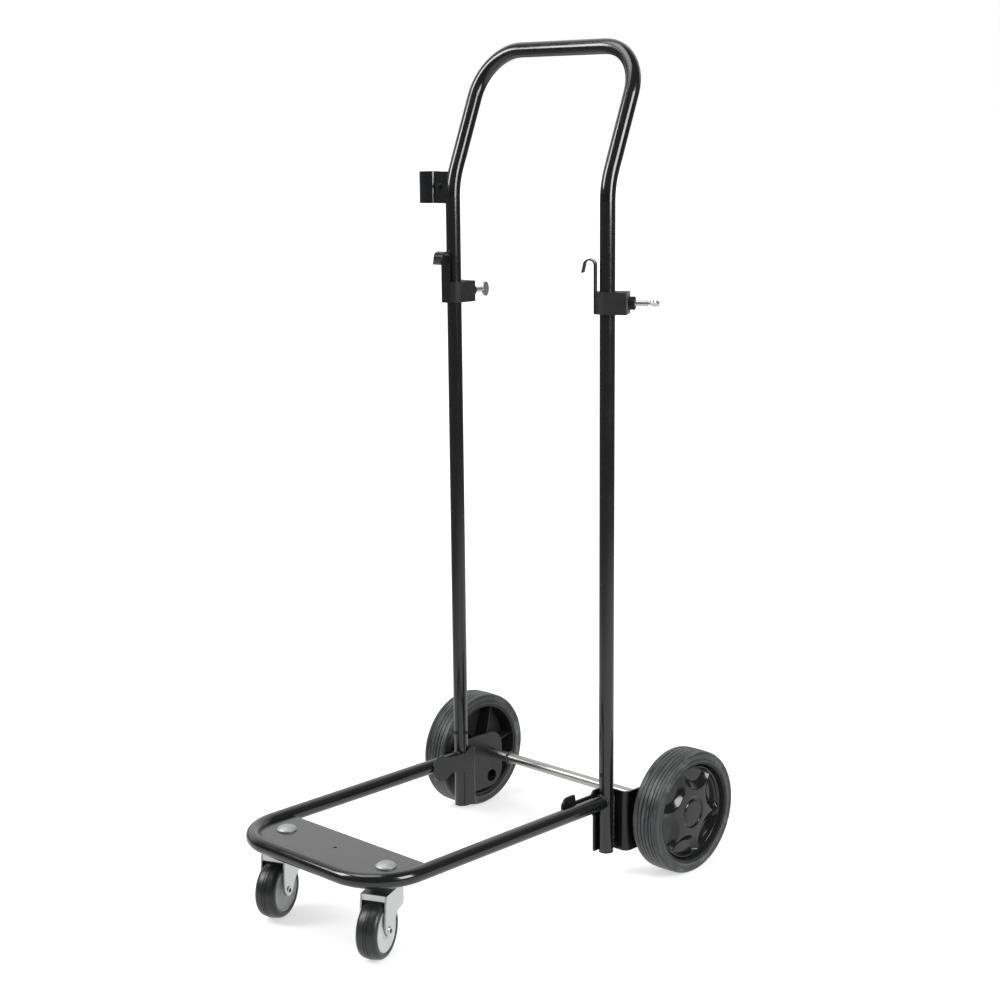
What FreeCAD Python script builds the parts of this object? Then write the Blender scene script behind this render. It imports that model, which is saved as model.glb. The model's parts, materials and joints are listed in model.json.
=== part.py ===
import FreeCAD, Part
import math
import os

# Hotel luggage cart. All sizes are in millimetres.
# X runs across the cart, -Y is the front, +Z is up. The floor is Z = 0 and
# the origin lies on the floor under the middle of the cart.

# Frame tubes
tube_diameter = 21.0
tube_wall = 1.5
upright_spacing = 293.3
upright_y = 136.72
upright_bottom = 37.5
handle_bend_radius = 113.0
handle_reach = 73.1
handle_rise = 182.0
top_bar_height = 1161.0
top_corner_radius = 68.0
base_length = 445.5
base_corner_radius = 72.0

# Front plate that carries the casters
plate_thickness = 3.0
plate_above_tube_centre = 2.0
plate_depth = 101.0
plate_hole_diameter = 5.0

# Casters
caster_inset = 46.65
caster_setback = 59.0
caster_trail = 33.0
caster_radius = 40.0
caster_width = 30.0
caster_tyre_depth = 10.5
caster_heading_left = 21.0
caster_heading_right = 23.0
kingpin_diameter = 10.0
caster_axle_diameter = 10.0
fork_sheet = 2.5
fork_clearance = 7.5
fork_overhang = 8.0
race_height = 21.0
ball_radius = 2.5
ball_circle = 15.0
ball_count = 14

# Rear wheels, axle and brackets
wheel_radius = 90.0
wheel_width = 44.0
wheel_standoff = 43.65
tyre_depth = 16.0
hub_reach = 5.3
hub_wall = 3.0
cap_depth = 7.0
retainer_room = 6.3
rib_count = 6
axle_behind = 93.7
axle_diameter = 15.0
bracket_sheet = 3.0
bracket_bottom = 36.5
bracket_height = 92.5
bracket_behind_axle = 18.8
bracket_bend = 6.5
flange_offset = 21.85
flange_hole_radius = 9.75
web_gap = 5.0
lobe_radius = 20.3
lobe_reach = 51.5
tab_reach = 82.0

# Coat hook clamps and pole socket
clamp_below_bend = 172.0
clamp_height = 30.0
clamp_turn_left = 0.0
clamp_turn_right = -60.0
clamp_wall = 5.0
clamp_depth = 17.5
clamp_plate_sheet = 1.5
screw_radius = 4.0
knob_radius = 9.0
knob_length = 8.5
hook_strip = 2.0
hook_width = 17.0
hook_rise = 65.5
hook_bend = 7.5
socket_stem = 21.5
socket_below_bend = 31.0
socket_height = 45.0
socket_outer = 30.0
socket_wall = 3.0
socket_slit = 4.0
socket_ear = 3.0
socket_bolt_radius = 2.5

# Clearances
running_gap = 0.08
body_gap = 0.3

# Sizes that follow from the ones above
tube_radius = tube_diameter / 2
upright_x = upright_spacing / 2
handle_bend_height = top_bar_height - handle_rise
axle_y = upright_y + axle_behind
front_y = upright_y - base_length
caster_x = upright_x - caster_inset
pin_y = front_y + caster_setback
kingpin_radius = kingpin_diameter / 2
caster_axle_radius = caster_axle_diameter / 2
caster_bush_radius = caster_axle_radius + 2
caster_hub_radius = caster_radius - caster_tyre_depth
fork_half = caster_width / 2 + 1.2
fork_top = 2 * caster_radius + fork_clearance + fork_sheet
ball_height = fork_top + 6.6
plate_bottom = fork_top + race_height
plate_top = plate_bottom + plate_thickness
base_height = plate_top - plate_above_tube_centre
axle_radius = axle_diameter / 2
bush_radius = axle_radius + hub_wall
wheel_inner_face = upright_x + wheel_standoff
wheel_outer_face = wheel_inner_face + wheel_width
rim_radius = wheel_radius - tyre_depth
hub_face = wheel_inner_face - hub_reach
cap_inside = wheel_outer_face - cap_depth
hub_end = cap_inside - retainer_room
hub_length = hub_end - hub_face
groove_spacing = (wheel_width - 15) / 4
clamp_bottom = handle_bend_height - clamp_below_bend
clamp_nose = tube_radius + clamp_wall
clamp_back = tube_radius + clamp_depth
socket_bottom = handle_bend_height - socket_below_bend
socket_offset = tube_radius + socket_stem + socket_outer / 2
socket_bore_radius = socket_outer / 2 - socket_wall
ear_half = socket_slit / 2 + socket_ear

V = FreeCAD.Vector
AXIS_X = V(1, 0, 0)
AXIS_Y = V(0, 1, 0)
AXIS_Z = V(0, 0, 1)


def save(name, shape):
    shape.exportStep("parts/" + name + ".step")


def box(x0, x1, y0, y1, z0, z1):
    return Part.makeBox(x1 - x0, y1 - y0, z1 - z0, V(x0, y0, z0))


def rod(radius, length, start, axis):
    return Part.makeCylinder(radius, length, start, axis)


def ring(outer, inner, length, start, axis):
    return rod(outer, length, start, axis).cut(rod(inner, length, start, axis))


def joined(shapes):
    result = shapes[0].fuse(shapes[1:])
    return result.removeSplitter()


def mirrored(shape):
    return shape.mirror(V(0, 0, 0), AXIS_X)


def turned(shape, degrees, centre, axis):
    copy = shape.copy()
    copy.rotate(centre, axis, degrees)
    return copy


def moved(shape, offset):
    copy = shape.copy()
    copy.translate(offset)
    return copy


def round_corner(before, corner, after, radius):
    # Start, middle and end of the arc that rounds one corner of a path.
    to_before = (before - corner).normalize()
    to_after = (after - corner).normalize()
    half = to_before.getAngle(to_after) / 2
    reach = radius / math.tan(half)
    middle_way = (to_before + to_after).normalize()
    depth = radius / math.sin(half) - radius
    start = corner + to_before * reach
    end = corner + to_after * reach
    return start, corner + middle_way * depth, end


def rounded_edges(points, radii, closed):
    # Straight edges joined by arcs. A radius of 0 leaves a sharp corner.
    count = len(points)
    edges = []
    stops = []
    for i in range(count):
        if radii[i] > 0:
            before = points[i - 1]
            after = points[(i + 1) % count]
            stops.append(round_corner(before, points[i], after, radii[i]))
        else:
            stops.append((points[i], None, points[i]))
    last = count if closed else count - 1
    for i in range(last):
        following = stops[(i + 1) % count]
        if stops[i][1] is not None:
            edges.append(Part.Arc(*stops[i]).toShape())
        edges.append(Part.makeLine(stops[i][2], following[0]))
    return edges


def rounded_plate(points, radii, thickness):
    wire = Part.Wire(rounded_edges(points, radii, True))
    return Part.Face(wire).extrude(thickness)


def swept_tube(points, radii, radius, wall):
    path = Part.Wire(rounded_edges(points, radii, False))
    direction = points[1] - points[0]
    outer = Part.Wire(Part.makeCircle(radius, points[0], direction))
    if wall == 0:
        return path.makePipe(Part.Face(outer))
    inner = Part.Wire(Part.makeCircle(radius - wall, points[0], direction))
    return path.makePipe(Part.Face(outer)).cut(path.makePipe(Part.Face(inner)))


def lathe(profile, centre):
    # Profile points are (along X, radius) and turn about an X axis through centre.
    points = [centre + V(along, 0, radius) for along, radius in profile]
    wire = Part.makePolygon(points + [points[0]])
    return Part.Face(wire).revolve(centre, AXIS_X, 360)


def upright_lathe(profile, centre):
    # Profile points are (radius, height) and turn about a Z axis through centre.
    points = [centre + V(radius, 0, height) for radius, height in profile]
    wire = Part.makePolygon(points + [points[0]])
    return Part.Face(wire).revolve(centre, AXIS_Z, 360)


def handle_path():
    bottom = upright_bottom
    lean_y = upright_y + handle_reach
    points = [V(-upright_x, upright_y, bottom)]
    points.append(V(-upright_x, upright_y, handle_bend_height))
    points.append(V(-upright_x, lean_y, top_bar_height))
    points.append(V(upright_x, lean_y, top_bar_height))
    points.append(V(upright_x, upright_y, handle_bend_height))
    points.append(V(upright_x, upright_y, bottom))
    radii = [0, handle_bend_radius, top_corner_radius]
    return points, radii + radii[::-1]


def handle_solid():
    points, radii = handle_path()
    return swept_tube(points, radii, tube_radius, 0)


def base_path():
    start_y = upright_y - 2.5
    points = [V(-upright_x, start_y, base_height)]
    points.append(V(-upright_x, front_y, base_height))
    points.append(V(upright_x, front_y, base_height))
    points.append(V(upright_x, start_y, base_height))
    return points, [0, base_corner_radius, base_corner_radius, 0]


def rivet_places():
    # One rivet faces the front and one faces inward on each upright.
    places = []
    for side in (-1, 1):
        centre = V(side * upright_x, upright_y, base_height + 41)
        places.append((centre, V(0, -1, 0)))
        places.append((centre, V(-side, 0, 0)))
    return places


def handle_frame():
    points, radii = handle_path()
    tube = swept_tube(points, radii, tube_radius, tube_wall)
    for centre, out in rivet_places():
        tube = tube.cut(rod(2.0, tube_radius + 2, centre, out))
    return tube


def upright_rivets():
    rivets = []
    for centre, out in rivet_places():
        stem = rod(2.0, 4.3, centre + out * (tube_radius - 3), out)
        head = rod(3.0, 1.6, centre + out * (tube_radius - 0.3), out)
        seat = rod(tube_radius, 12, centre - AXIS_Z * 6, AXIS_Z)
        head = head.cut(seat)
        rivets.append(joined([stem, head]))
    return Part.makeCompound(rivets)


def upright_plugs():
    # Plastic plugs close the two lower tube ends.
    plugs = []
    for side in (-1, 1):
        centre = V(side * upright_x, upright_y, upright_bottom)
        cap = rod(tube_radius, 2.0, centre - AXIS_Z * 2, AXIS_Z)
        stem = rod(tube_radius - tube_wall, 10.0, centre, AXIS_Z)
        plugs.append(joined([cap, stem]))
    return Part.makeCompound(plugs)


def base_frame():
    points, radii = base_path()
    tube = swept_tube(points, radii, tube_radius, tube_wall)
    for side in (-1, 1):
        foot = V(side * upright_x, upright_y, upright_bottom)
        tube = tube.cut(rod(tube_radius, 150, foot, AXIS_Z))
    return tube


def front_plate():
    half = upright_x - tube_radius + 0.5
    front = front_y + tube_radius - 0.5
    rear = front_y + plate_depth
    points = [V(-half, rear, plate_bottom), V(-half, front, plate_bottom)]
    points += [V(half, front, plate_bottom), V(half, rear, plate_bottom)]
    corner = base_corner_radius - tube_radius + 0.5
    plate = rounded_plate(points, [0, corner, corner, 0], V(0, 0, plate_thickness))
    path, radii = base_path()
    plate = plate.cut(swept_tube(path, radii, tube_radius, 0))
    for x in (-caster_x, caster_x):
        start = V(x, pin_y, plate_bottom)
        plate = plate.cut(rod(kingpin_radius, plate_thickness, start, AXIS_Z))
    middle = V(0, pin_y, plate_bottom)
    return plate.cut(rod(plate_hole_diameter / 2, plate_thickness, middle, AXIS_Z))


def lobe_arm(inner_x):
    # Flat arm along the left base tube with a round lobe at its front end.
    # Its heights are above the centre of the base tube.
    y = upright_y
    points = [(-lobe_reach, -15), (-25, -15.5), (-6, -21), (0, -21), (0, 10)]
    points += [(-17.5, 10), (-lobe_reach, 11)]
    corners = [V(inner_x, y + along, base_height + up) for along, up in points]
    face = Part.Face(Part.makePolygon(corners + [corners[0]]))
    arm = face.extrude(V(bracket_sheet, 0, 0))
    lobe_centre = V(inner_x, y - lobe_reach, base_height - 2.5)
    lobe = rod(lobe_radius, bracket_sheet, lobe_centre, AXIS_X)
    top = base_height + 11
    notch = box(inner_x - 1, inner_x + 10, y - lobe_reach + 2, y - 20, top, top + 17)
    return joined([arm, lobe]).cut(notch)


def tab_arm(inner_x):
    # Flat arm behind the right base tube with a tab that stands above it.
    points = [(-tab_reach, -11), (-25, -11), (-16, -21), (0, -21), (0, 17)]
    points += [(-14, 17), (-19, 11), (-54, 11), (-55.5, 21.3), (-tab_reach, 21.3)]
    corners = [V(inner_x, upright_y + y, base_height + z) for y, z in points]
    radii = [8, 0, 0, 0, 0, 0, 0, 0, 1.5, 13]
    return rounded_plate(corners, radii, V(bracket_sheet, 0, 0))


def bracket(arm, front):
    # Inner flange, web behind the upright and outer flange, folded from sheet.
    inner_x = upright_x - tube_radius - bracket_sheet
    outer_x = upright_x + flange_offset
    web_y = upright_y + tube_radius + web_gap
    back_y = web_y + bracket_sheet
    length = axle_behind + bracket_behind_axle
    end_y = upright_y + length
    top = bracket_bottom + bracket_height
    outline = [(inner_x, front), (inner_x, back_y), (outer_x, back_y)]
    outline += [(outer_x, end_y), (outer_x + bracket_sheet, end_y)]
    outline += [(outer_x + bracket_sheet, web_y), (inner_x + bracket_sheet, web_y)]
    outline += [(inner_x + bracket_sheet, front)]
    points = [V(x, y, bracket_bottom) for x, y in outline]
    wide_bend = bracket_bend + bracket_sheet
    radii = [0, 4.5, bracket_bend, 0, 0, wide_bend, 1.5, 0]
    sheet = rounded_plate(points, radii, V(0, 0, bracket_height))
    side = [(12, bracket_bottom), (length, bracket_bottom)]
    side += [(length, top - 3), (12, top - 3)]
    corners = [V(outer_x - wide_bend, upright_y + y, z) for y, z in side]
    flange_space = rounded_plate(corners, [0, 28, 26, 0], V(2 * wide_bend, 0, 0))
    inner_space = box(inner_x - 1, inner_x + 4, front - 1, web_y, 0, top + 1)
    web_space = box(inner_x - 1, outer_x - 5, web_y, back_y + 1, 0, top - 3)
    sheet = sheet.common(joined([flange_space, inner_space, web_space]))
    body = joined([sheet, arm(inner_x)])
    axle = rod(axle_radius, 60, V(outer_x - 30, axle_y, wheel_radius), AXIS_X)
    hole_centre = V(outer_x - 30, axle_y - 4.7, wheel_radius - 36)
    hole = rod(flange_hole_radius, 60, hole_centre, AXIS_X)
    return body.cut(axle).cut(hole)


def left_bracket():
    # Mirror of the right one, with the lobe and a sloped top to its flange.
    front = upright_y - 4.5
    shape = bracket(lobe_arm, front)
    inner_x = upright_x - tube_radius - bracket_sheet
    level = bracket_bottom + bracket_height
    slope = [(front - 2, level - 9), (front + 14, level + 1), (front - 2, level + 1)]
    corners = [V(inner_x - 1, y, z) for y, z in slope]
    face = Part.Face(Part.makePolygon(corners + [corners[0]]))
    return mirrored(shape.cut(face.extrude(V(bracket_sheet + 2, 0, 0))))


def axle():
    end = cap_inside - body_gap
    return rod(axle_radius, 2 * end, V(-end, axle_y, wheel_radius), AXIS_X)


def axle_spacers():
    start = upright_x + flange_offset + bracket_sheet
    length = hub_face - body_gap - start
    centre = V(start, axle_y, wheel_radius)
    spacer = ring(bush_radius, axle_radius, length, centre, AXIS_X)
    return Part.makeCompound([spacer, mirrored(spacer)])


def axle_retainers():
    # A washer and a push-on nut hold each wheel on the axle.
    start = V(hub_end + body_gap, axle_y, wheel_radius)
    washer = ring(bush_radius + 2.5, axle_radius, 1.5, start, AXIS_X)
    nut = ring(bush_radius + 0.5, axle_radius, 3.0, start + AXIS_X * 1.5, AXIS_X)
    retainer = joined([washer, nut])
    return Part.makeCompound([retainer, mirrored(retainer)])


def tyre():
    half = wheel_width / 2
    outer = wheel_radius
    profile = [(-half + 2, rim_radius), (-half, rim_radius + 2), (-half, outer - 9)]
    profile += [(-half + 1, outer - 4), (-half + 3.5, outer - 1.2)]
    for step in range(-2, 3):
        groove = step * groove_spacing
        profile += [(groove - 1.3, outer), (groove - 0.8, outer - 1.8)]
        profile += [(groove + 0.8, outer - 1.8), (groove + 1.3, outer)]
    profile += [(half - 3.5, outer - 1.2), (half - 1, outer - 4)]
    profile += [(half, outer - 9), (half, rim_radius + 2), (half - 2, rim_radius)]
    return lathe(profile, V(wheel_inner_face + half, axle_y, wheel_radius))


def rim():
    # Hub, web and barrel in one moulding with radial ribs on the inner side.
    centre = V(0, axle_y, wheel_radius)
    hub = bush_radius + 4.5
    face = wheel_inner_face + 2
    web = wheel_outer_face - 17
    end = wheel_outer_face - 2
    profile = [(hub_face, bush_radius), (hub_face, hub + 2), (web, hub + 4)]
    profile += [(web, rim_radius - 5), (face, rim_radius - 4), (face, rim_radius)]
    profile += [(end, rim_radius), (end, rim_radius - 3), (web + 3, rim_radius - 5)]
    profile += [(web + 3, hub), (hub_end, hub), (hub_end, bush_radius)]
    body = lathe(profile, centre)
    ribs = []
    for step in range(rib_count):
        low = wheel_radius + hub + 1
        high = wheel_radius + rim_radius - 2.5
        side = [(web + 1, low), (face - 2, low), (face + 6, high), (web + 1, high)]
        corners = [V(x, axle_y - 0.9, z) for x, z in side]
        plate = Part.Face(Part.makePolygon(corners + [corners[0]]))
        rib = plate.extrude(V(0, 1.8, 0))
        angle = -21 - 360 / rib_count * step
        ribs.append(turned(rib, angle, centre, AXIS_X))
    return joined([body] + ribs)


def wheel_bush():
    start = V(hub_face, axle_y, wheel_radius)
    return ring(bush_radius, axle_radius + running_gap, hub_length, start, AXIS_X)


def hubcap():
    # Dished cover with six scallops and a C-shaped groove round its centre.
    # Profile points are (behind the wheel's outer face, radius).
    centre = V(wheel_outer_face, axle_y, wheel_radius)
    edge = rim_radius - 4
    boss = edge - 42
    profile = [(-14, edge - 1.2), (-7, edge - 0.1), (-4, edge + 0.3)]
    profile += [(-1.5, edge - 3), (-3.5, edge - 8), (-8, edge - 23), (-8, boss + 5)]
    profile += [(-4.5, boss), (-4.5, 0), (-7, 0), (-7, boss - 3), (-11, boss + 3)]
    profile += [(-11, edge - 21), (-14, edge - 10)]
    cap = lathe(profile, centre)
    for step in range(6):
        ball = Part.makeSphere(24, centre + V(14.4, 0, edge - 20))
        cap = cap.cut(turned(ball, 60 * step + 30, centre, AXIS_X))
    groove = ring(boss - 6, boss - 9, 2, centre - AXIS_X * 5.6, AXIS_X)
    reach = wheel_outer_face
    bridge = box(0, reach, axle_y - 9, axle_y + 9, wheel_radius, wheel_radius + 40)
    return cap.cut(groove.cut(turned(bridge, -60, centre, AXIS_X)))


def kingpin(x):
    # Domed bolt from above the plate down to a nut under the fork.
    centre = V(x, pin_y, 0)
    r = kingpin_radius
    top = plate_top
    profile = [(0, fork_top - 13), (r, fork_top - 13), (r, top), (14, top)]
    profile += [(14, top + 1.5), (12, top + 3.6), (8, top + 5.4), (4, top + 6.2)]
    profile += [(0, top + 6.4)]
    return upright_lathe(profile, centre)


def kingpin_nut(x):
    top = V(x, pin_y, fork_top - fork_sheet - body_gap)
    corner = kingpin_radius + 4.2
    corners = []
    for step in range(6):
        angle = math.radians(60 * step)
        corners.append(top + V(corner * math.cos(angle), corner * math.sin(angle), 0))
    face = Part.Face(Part.makePolygon(corners + [corners[0]]))
    nut = face.extrude(V(0, 0, -8))
    return nut.cut(rod(kingpin_radius, 20, top - AXIS_Z * 12, AXIS_Z))


def swivel_cup(x):
    # Fixed upper race, with a skirt that shields the balls.
    r = kingpin_radius
    seat = ball_height + 1
    skirt = ball_circle + 5.5
    low = ball_height - 1.6
    profile = [(r, plate_bottom), (skirt + 2.5, plate_bottom), (skirt + 2.5, low)]
    profile += [(skirt, low), (skirt, seat), (r, seat)]
    cup = upright_lathe(profile, V(x, pin_y, 0))
    centre = V(x, pin_y, ball_height)
    return cup.cut(Part.makeTorus(ball_circle, ball_radius + 0.02, centre, AXIS_Z))


def swivel_balls(x):
    balls = []
    for step in range(ball_count):
        angle = math.radians(360 / ball_count * step)
        across = ball_circle * math.cos(angle)
        along = ball_circle * math.sin(angle)
        spot = V(x + across, pin_y + along, ball_height)
        balls.append(Part.makeSphere(ball_radius, spot))
    return Part.makeCompound(balls)


def caster_fork(x, heading):
    # Pressed fork: crown, front band and two legs down to the axle.
    half = fork_half
    wide = half + fork_sheet
    low = fork_top - fork_sheet
    wheel_y = pin_y - caster_trail
    front = wheel_y - fork_overhang
    crown = box(x - wide, x + wide, front, pin_y, low, fork_top)
    tail = rod(wide, fork_sheet, V(x, pin_y, low), AXIS_Z)
    band = box(x - wide, x + wide, front, front + fork_sheet, low - 6, low)
    pin = V(x, pin_y, low)
    race_top = ball_height - low - 1.3
    race = ring(ball_circle + 3, kingpin_radius, race_top, pin, AXIS_Z)
    pieces = [crown, tail, band, race]
    r = caster_radius
    above = [(0, fork_top), (0, fork_top - 26), (-3, fork_top - 29.5)]
    side = [(front, fork_top), (wheel_y - 11.5, fork_top - 20), (wheel_y - 11.5, r + 2)]
    side += [(wheel_y, r - 11.5), (wheel_y + 12, r - 2), (wheel_y + 17, r + 9)]
    side += [(wheel_y + 26, r + 18)]
    side += [(pin_y + 13 + y, z) for y, z in reversed(above)]
    corners = [V(x + half, y, z) for y, z in side]
    radii = [0, 12, 12, 9, 10, 12, 12, 4, 4, 0]
    leg = rounded_plate(corners, radii, V(fork_sheet, 0, 0))
    pieces.append(leg)
    pieces.append(moved(leg, V(-2 * half - fork_sheet, 0, 0)))
    fork = joined(pieces)
    track_centre = V(x, pin_y, ball_height)
    track = Part.makeTorus(ball_circle, ball_radius + body_gap, track_centre, AXIS_Z)
    bore = rod(kingpin_radius + running_gap, 30, pin - AXIS_Z * 5, AXIS_Z)
    hole = rod(caster_axle_radius, 60, V(x - 30, wheel_y, caster_radius), AXIS_X)
    fork = fork.cut(track).cut(bore).cut(hole)
    return turned(fork, heading, V(x, pin_y, 0), AXIS_Z)


def caster_axle(x, heading):
    # Hollow rivet with a flared head outside each fork leg.
    centre = V(x, pin_y - caster_trail, caster_radius)
    r = caster_axle_radius
    wide = fork_half + fork_sheet
    profile = [(-wide, r), (-wide, r + 1.6), (-wide - 1.2, r + 0.8)]
    profile += [(-wide - 1.2, r - 1.8), (wide + 1.2, r - 1.8)]
    profile += [(wide + 1.2, r + 0.8), (wide, r + 1.6), (wide, r)]
    return turned(lathe(profile, centre), heading, V(x, pin_y, 0), AXIS_Z)


def caster_core(x, heading):
    # Grey moulded wheel centre with a shallow dish on each side.
    centre = V(x, pin_y - caster_trail, caster_radius)
    half = caster_width / 2
    bush = caster_bush_radius
    rim_r = caster_hub_radius
    profile = [(-half + 0.4, bush), (-half + 0.4, 10), (-half + 3, 12)]
    profile += [(-half + 3, rim_r - 3), (-half + 1, rim_r - 1.5), (-half + 1, rim_r)]
    profile += [(half - 1, rim_r), (half - 1, rim_r - 1.5), (half - 3, rim_r - 3)]
    profile += [(half - 3, 12), (half - 0.4, 10), (half - 0.4, bush)]
    return turned(lathe(profile, centre), heading, V(x, pin_y, 0), AXIS_Z)


def caster_bush(x, heading):
    centre = V(x, pin_y - caster_trail, caster_radius)
    inner = caster_axle_radius + running_gap
    length = caster_width + 1
    start = centre - AXIS_X * (length / 2)
    bush = ring(caster_bush_radius, inner, length, start, AXIS_X)
    return turned(bush, heading, V(x, pin_y, 0), AXIS_Z)


def caster_tyre(x, heading):
    centre = V(x, pin_y - caster_trail, caster_radius)
    half = caster_width / 2
    r = caster_radius
    profile = [(-half + 1, caster_hub_radius), (-half, caster_hub_radius + 1.5)]
    profile += [(-half, r - 7), (-half + 1.2, r - 4), (-half + 3.4, r - 1.8)]
    profile += [(-half + 6.5, r - 0.6), (-4, r), (4, r), (half - 6.5, r - 0.6)]
    profile += [(half - 3.4, r - 1.8), (half - 1.2, r - 4), (half, r - 7)]
    profile += [(half, caster_hub_radius + 1.5), (half - 1, caster_hub_radius)]
    return turned(lathe(profile, centre), heading, V(x, pin_y, 0), AXIS_Z)


def clamp_place(side):
    turn = clamp_turn_left if side < 0 else clamp_turn_right
    return V(side * upright_x, upright_y, clamp_bottom), turn


def placed_clamp(shape, side):
    # Clamp pieces are drawn with the tube axis at the origin and the hook at -Y.
    place, turn = clamp_place(side)
    return moved(turned(shape, turn, V(0, 0, 0), AXIS_Z), place)


def clamp_body(side):
    nose = rod(clamp_nose, clamp_height, V(0, 0, 0), AXIS_Z)
    block = box(-clamp_nose, clamp_nose, 0, clamp_back, 0, clamp_height)
    tab = box(-hook_width / 2, hook_width / 2, -clamp_nose, 0, 0, clamp_height)
    body = joined([nose, block, tab])
    body = body.cut(rod(tube_radius + running_gap, 40, V(0, 0, -5), AXIS_Z))
    screw = rod(screw_radius + running_gap, 40, V(0, 0, clamp_height / 2), AXIS_Y)
    return placed_clamp(body.cut(screw), side)


def clamp_hook(side):
    # Flat strip that rises in front of the clamp and turns over into a hook.
    face = -clamp_nose - hook_strip / 2
    top = hook_rise
    left = hook_width / 2
    stem = Part.makeLine(V(-left, face, 0), V(-left, face, top))
    over = V(-left, face - hook_bend, top + hook_bend)
    end = V(-left, face - 2 * hook_bend, top)
    arc = Part.Arc(V(-left, face, top), over, end).toShape()
    tip = V(-left, face - 2 * hook_bend - 2.2, top - 10)
    tail = Part.makeLine(end, tip)
    path = Part.Wire([stem, arc, tail])
    half = hook_strip / 2
    section = [V(-left, face - half, 0), V(left, face - half, 0)]
    section += [V(left, face + half, 0), V(-left, face + half, 0)]
    profile = Part.Wire(Part.makePolygon(section + [section[0]]))
    strip = path.makePipeShell([profile], True, False, 1)
    return placed_clamp(strip, side)


def clamp_plate(side):
    rear = clamp_back + clamp_plate_sheet
    plate = box(-11, 11, clamp_back, rear, 1, clamp_height - 1)
    middle = V(0, 0, clamp_height / 2)
    plate = plate.cut(rod(screw_radius + running_gap, 60, middle, AXIS_Y))
    return placed_clamp(plate, side)


def clamp_knob(side):
    # Knurled lock nut against the end plate.
    start = V(0, clamp_back + clamp_plate_sheet, clamp_height / 2)
    knob = rod(knob_radius, knob_length, start, AXIS_Y)
    for step in range(16):
        flute_start = start + V(knob_radius + 0.3, -0.5, 0)
        flute = rod(1.1, knob_length + 1.5, flute_start, AXIS_Y)
        knob = knob.cut(turned(flute, 22.5 * step, start, AXIS_Y))
    bore = rod(screw_radius + running_gap, knob_length + 3, start, AXIS_Y)
    return placed_clamp(knob.cut(bore), side)


def clamp_screw(side):
    # Thumb screw: shank, neck and a flat oval head.
    middle = V(0, tube_radius + body_gap, clamp_height / 2)
    shank = rod(screw_radius, clamp_back + 27 - tube_radius, middle, AXIS_Y)
    neck = rod(2.6, 6, V(0, clamp_back + 26, clamp_height / 2), AXIS_Y)
    head = Part.makeCylinder(10.5, 3.4, V(-1.7, 0, 0), AXIS_X)
    shrink = FreeCAD.Matrix()
    shrink.scale(1, 0.6, 1)
    head = head.transformGeometry(shrink)
    head = moved(head, V(0, clamp_back + 36.5, clamp_height / 2))
    screw = joined([shank, neck, head])
    turn = 0 if side < 0 else 68
    screw = turned(screw, turn, V(0, 0, clamp_height / 2), AXIS_Y)
    return placed_clamp(screw, side)


def socket_centre():
    return V(-upright_x - socket_offset, upright_y, socket_bottom)


def pole_socket():
    # Split sleeve whose two ears are welded to the left upright.
    centre = socket_centre()
    sleeve = rod(socket_outer / 2, socket_height, centre, AXIS_Z)
    y = upright_y
    top = socket_bottom + socket_height
    start = centre.x + socket_bore_radius - 2
    slit_half = socket_slit / 2
    ears = box(start, -upright_x, y - ear_half, y + ear_half, socket_bottom, top)
    body = joined([sleeve, ears]).cut(handle_solid())
    low = socket_bottom - 1
    slit = box(centre.x, -upright_x, y - slit_half, y + slit_half, low, top + 1)
    bore = rod(socket_bore_radius, socket_height + 2, centre - AXIS_Z, AXIS_Z)
    bolt = rod(socket_bolt_radius, 30, socket_bolt_start(), AXIS_Y)
    return body.cut(slit).cut(bore).cut(bolt)


def socket_bolt_start():
    x = -upright_x - tube_radius - 11.5
    return V(x, upright_y - ear_half - 4, socket_bottom + socket_height * 0.53)


def socket_bolt():
    start = socket_bolt_start()
    shank = rod(socket_bolt_radius, 2 * ear_half + 9, start, AXIS_Y)
    head = Part.makeSphere(5.5, start + AXIS_Y * 7).common(rod(4.5, 4, start, AXIS_Y))
    return joined([shank, head.fuse(rod(4.5, 1.5, start + AXIS_Y * 2.5, AXIS_Y))])


def socket_nut():
    start = socket_bolt_start() + AXIS_Y * (2 * ear_half + 4)
    corners = []
    for step in range(6):
        angle = math.radians(60 * step)
        corners.append(start + V(4.6 * math.cos(angle), 0, 4.6 * math.sin(angle)))
    nut = Part.Face(Part.makePolygon(corners + [corners[0]])).extrude(V(0, 4, 0))
    return nut.cut(rod(socket_bolt_radius, 10, start - AXIS_Y * 2, AXIS_Y))


os.makedirs("parts", exist_ok=True)

save("handle_frame", handle_frame())
save("upright_rivets", upright_rivets())
save("upright_plugs", upright_plugs())
save("base_frame", base_frame())
save("front_plate", front_plate())
save("axle", axle())
save("axle_spacers", axle_spacers())
save("axle_retainers", axle_retainers())
save("pole_socket", pole_socket())
save("socket_bolt", socket_bolt())
save("socket_nut", socket_nut())

save("bracket_right", bracket(tab_arm, upright_y - 14))
save("bracket_left", left_bracket())

right_side = {"rear_tyre": tyre(), "rear_rim": rim(), "rear_bush": wheel_bush()}
right_side["rear_hubcap"] = hubcap()
for name, shape in right_side.items():
    save(name + "_right", shape)
    save(name + "_left", mirrored(shape))

casters = (("left", -caster_x, caster_heading_left),
           ("right", caster_x, caster_heading_right))
for name, x, heading in casters:
    save("kingpin_" + name, kingpin(x))
    save("kingpin_nut_" + name, kingpin_nut(x))
    save("swivel_cup_" + name, swivel_cup(x))
    save("swivel_balls_" + name, swivel_balls(x))
    save("caster_fork_" + name, caster_fork(x, heading))
    save("caster_axle_" + name, caster_axle(x, heading))
    save("caster_core_" + name, caster_core(x, heading))
    save("caster_bush_" + name, caster_bush(x, heading))
    save("caster_tyre_" + name, caster_tyre(x, heading))

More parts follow.
